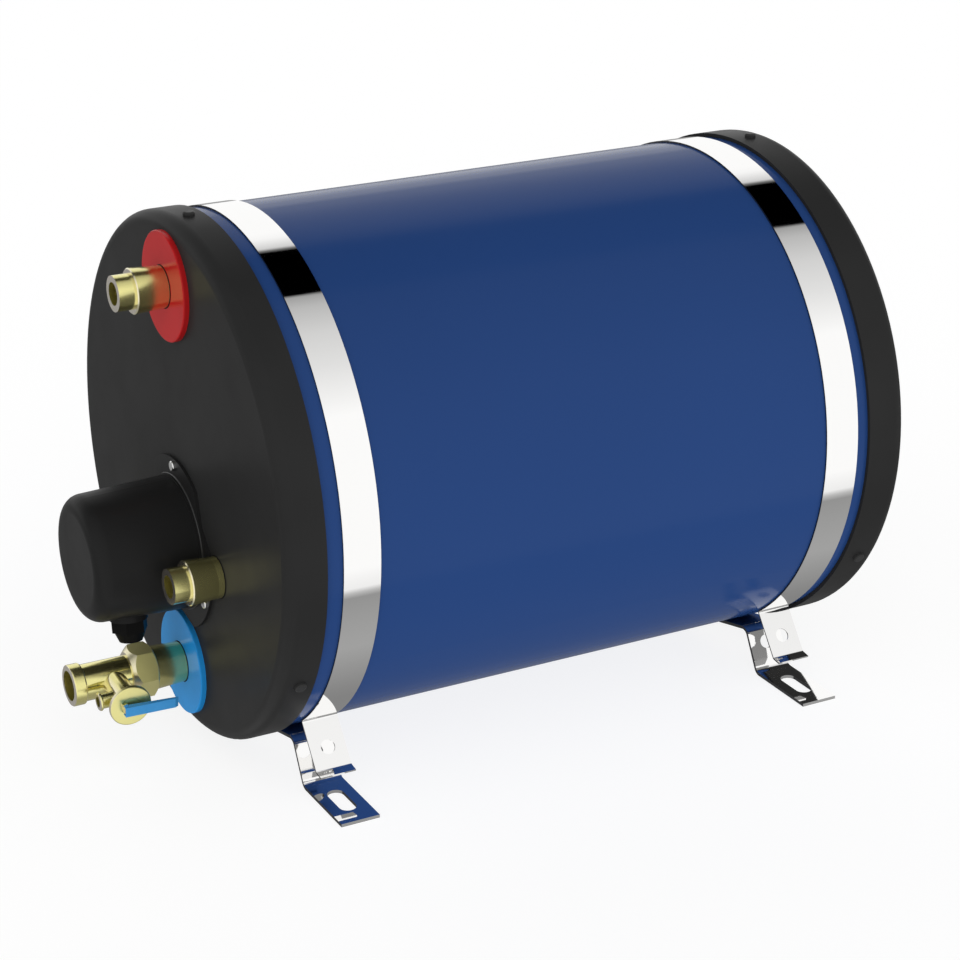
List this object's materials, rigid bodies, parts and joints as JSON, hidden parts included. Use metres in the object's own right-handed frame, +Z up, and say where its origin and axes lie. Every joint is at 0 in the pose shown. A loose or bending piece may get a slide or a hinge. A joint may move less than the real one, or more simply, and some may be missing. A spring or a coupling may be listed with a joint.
{
  "type": "marine water heater",
  "caption": "Horizontal insulated water heater for a boat, with strap feet, hot, cold and coolant fittings, a heating element housing and a safety valve with a lift lever.",
  "frame": {"origin": "midway between the two front foot slots, on the plane that the feet stand on", "axes": "+X along the barrel from the fittings end to the rear end, +Z up"},
  "size_m": [0.608, 0.3964, 0.4125],
  "materials": {
    "blue_paint": "satin",
    "black_plastic": "matte",
    "dark_screws": "satin",
    "polished_steel": "mirror polished stainless",
    "red_plastic": "satin",
    "blue_plastic": "satin",
    "brass": "machined",
    "bright_screws": "satin",
    "black_rubber": "matte",
    "blue_lever": "satin"
  },
  "bodies": {
    "heater": {"outer_shell": "blue_paint", "front_end_cap": "black_plastic", "rear_end_cap": "black_plastic", "front_cap_screws": "dark_screws", "rear_cap_screws": "dark_screws", "front_band": "polished_steel", "rear_band": "polished_steel", "front_saddle": "polished_steel", "rear_saddle": "polished_steel", "hot_outlet_disc": "red_plastic", "hot_outlet_fitting": "brass", "cold_inlet_disc": "blue_plastic", "cold_inlet_fitting": "brass", "near_coolant_port": "brass", "far_coolant_port": "brass", "housing_flange": "black_plastic", "housing_cover": "black_plastic", "housing_screws": "bright_screws", "cable_gland_body": "black_plastic", "cable_gland_nut": "black_plastic", "cable_gland_seal": "black_rubber", "valve_union_nut": "brass", "valve_body": "brass", "valve_end_collar": "brass", "drain_nipple": "brass", "valve_bonnet": "brass", "valve_spindle": "brass", "lever_pin": "blue_lever"},
    "lever": {"valve_lever": "blue_lever"}
  },
  "joints": [
    {"name": "lever_lift", "type": "hinge", "parent": "heater", "child": "lever", "pos_m": [-0.1228, -0.04764, 0.05809], "axis": [0, 0.1045, -0.9945], "range_deg": [0, 90], "stiffness_Nm_per_rad": 0.05}
  ]
}
